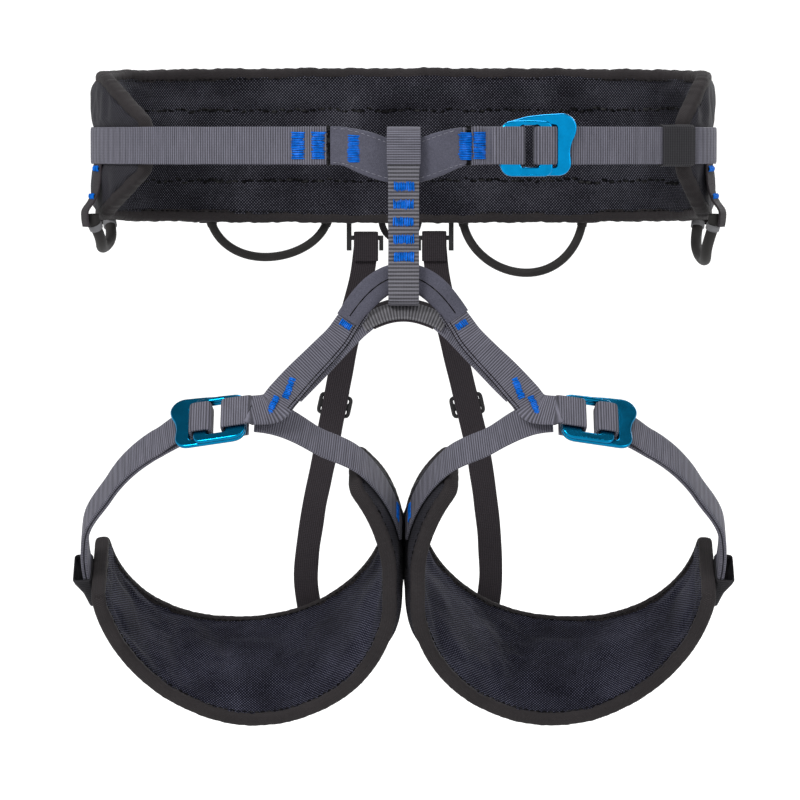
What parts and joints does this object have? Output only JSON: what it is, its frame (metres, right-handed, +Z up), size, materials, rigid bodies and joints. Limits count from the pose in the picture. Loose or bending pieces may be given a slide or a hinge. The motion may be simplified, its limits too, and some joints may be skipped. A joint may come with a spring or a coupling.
{
  "type": "climbing harness",
  "caption": "Sit harness for climbing: padded waist belt, belay loop, two padded leg loops on elastic risers, gear loops and slide-block buckles.",
  "frame": {"origin": "middle of the waist opening at the belt's mid-height", "axes": "+Z up, +Y towards the wearer's back, +X towards the wearer's left hand"},
  "size_m": [0.3498, 0.229, 0.3628],
  "materials": {
    "foam": "closed-cell foam, matte",
    "shell": "plain dark grey woven shell",
    "lining": "navy-black spacer mesh",
    "binding": "charcoal woven edge tape",
    "webbing": "grey ribbed nylon webbing",
    "sleeve": "smooth grey woven sleeve",
    "elastic": "black elastic webbing",
    "thread": "blue bar-tack thread",
    "waist_buckle": "bright blue anodised",
    "leg_buckle": "petrol blue anodised",
    "plastic": "black moulded plastic",
    "cord": "dark woven cord cover"
  },
  "bodies": {
    "waist_belt": {"waist_foam": "foam", "waist_shell": "shell", "waist_lining": "lining", "waist_binding": "binding", "waist_webbing": "webbing", "waist_tie_in_sleeve": "sleeve", "waist_bar_tacks": "thread", "waist_buckle_frame": "waist_buckle", "waist_strap_tail": "webbing", "waist_keeper": "elastic", "leg_tie_in_sleeve": "sleeve", "leg_bridge_webbing": "webbing", "leg_bridge_liner": "elastic", "gear_loop_tabs": "elastic", "riser_hangers": "plastic", "left_riser": "elastic", "right_riser": "elastic", "left_riser_adjuster": "plastic", "right_riser_adjuster": "plastic"},
    "waist_slider": {"waist_buckle_slider": "waist_buckle", "waist_strap_turn": "webbing"},
    "belay_loop": {"belay_loop": "webbing", "belay_bar_tacks": "thread"},
    "haul_loop": {"haul_loop": "cord"},
    "left_front_gear_loop": {"left_front_gear_loop": "plastic"},
    "right_front_gear_loop": {"right_front_gear_loop": "plastic"},
    "left_rear_gear_loop": {"left_rear_gear_loop": "cord"},
    "right_rear_gear_loop": {"right_rear_gear_loop": "cord"},
    "left_leg_loop": {"left_leg_foam": "foam", "left_leg_shell": "shell", "left_leg_lining": "lining", "left_leg_binding": "binding", "left_leg_front_strap": "webbing", "left_leg_inner_strap": "webbing", "left_leg_outer_strap": "webbing", "left_leg_strap_tail": "webbing", "left_leg_buckle_frame": "leg_buckle", "left_leg_keeper": "elastic", "left_leg_bar_tacks": "thread"},
    "left_leg_slider": {"left_leg_buckle_slider": "leg_buckle", "left_leg_strap_turn": "webbing"},
    "right_leg_loop": {"right_leg_foam": "foam", "right_leg_shell": "shell", "right_leg_lining": "lining", "right_leg_binding": "binding", "right_leg_front_strap": "webbing", "right_leg_inner_strap": "webbing", "right_leg_outer_strap": "webbing", "right_leg_strap_tail": "webbing", "right_leg_buckle_frame": "leg_buckle", "right_leg_keeper": "elastic", "right_leg_bar_tacks": "thread"},
    "right_leg_slider": {"right_leg_buckle_slider": "leg_buckle", "right_leg_strap_turn": "webbing"}
  },
  "joints": [
    {"name": "belay_loop_swing", "type": "hinge", "parent": "waist_belt", "child": "belay_loop", "pos_m": [0, -0.1007, -0.04], "axis": [0, 0, 1], "range_deg": [-8, 8]},
    {"name": "left_leg_swing", "type": "hinge", "parent": "waist_belt", "child": "left_leg_loop", "pos_m": [0, -0.1007, -0.097], "axis": [1, 0, 0], "range_deg": [-30, 30], "stiffness_Nm_per_rad": 0.25, "springref_deg": 8.94, "deforming": ["left_riser", "left_riser_adjuster"]},
    {"name": "right_leg_swing", "type": "hinge", "parent": "waist_belt", "child": "right_leg_loop", "pos_m": [0, -0.1007, -0.097], "axis": [1, 0, 0], "range_deg": [-30, 30], "stiffness_Nm_per_rad": 0.25, "springref_deg": 8.94, "deforming": ["right_riser", "right_riser_adjuster"]},
    {"name": "left_front_gear_loop_lift", "type": "hinge", "parent": "waist_belt", "child": "left_front_gear_loop", "pos_m": [-0.16689, 0.0046, -0.037], "axis": [0.0573, 0.9984, 0], "range_deg": [0, 50]},
    {"name": "right_front_gear_loop_lift", "type": "hinge", "parent": "waist_belt", "child": "right_front_gear_loop", "pos_m": [0.16689, 0.0046, -0.037], "axis": [0.0573, -0.9984, 0], "range_deg": [0, 50]},
    {"name": "left_rear_gear_loop_lift", "type": "hinge", "parent": "waist_belt", "child": "left_rear_gear_loop", "pos_m": [-0.07653, 0.09281, -0.037], "axis": [0.9726, 0.2325, 0], "range_deg": [0, 50]},
    {"name": "right_rear_gear_loop_lift", "type": "hinge", "parent": "waist_belt", "child": "right_rear_gear_loop", "pos_m": [0.06781, 0.0948, -0.037], "axis": [0.9806, -0.1958, 0], "range_deg": [0, 50]},
    {"name": "haul_loop_lift", "type": "hinge", "parent": "waist_belt", "child": "haul_loop", "pos_m": [-0.002, 0.104, -0.037], "axis": [1, 0, 0], "range_deg": [0, 60]},
    {"name": "waist_buckle_slide", "type": "slide", "parent": "waist_belt", "child": "waist_slider", "axis": [0.9804, 0.1972, 0], "range_m": [-0.002, 0]},
    {"name": "left_leg_buckle_slide", "type": "slide", "parent": "left_leg_loop", "child": "left_leg_slider", "axis": [-0.9743, 0.1388, -0.1777], "range_m": [-0.002, 0]},
    {"name": "right_leg_buckle_slide", "type": "slide", "parent": "right_leg_loop", "child": "right_leg_slider", "axis": [0.9743, 0.1388, -0.1777], "range_m": [-0.002, 0]}
  ]
}
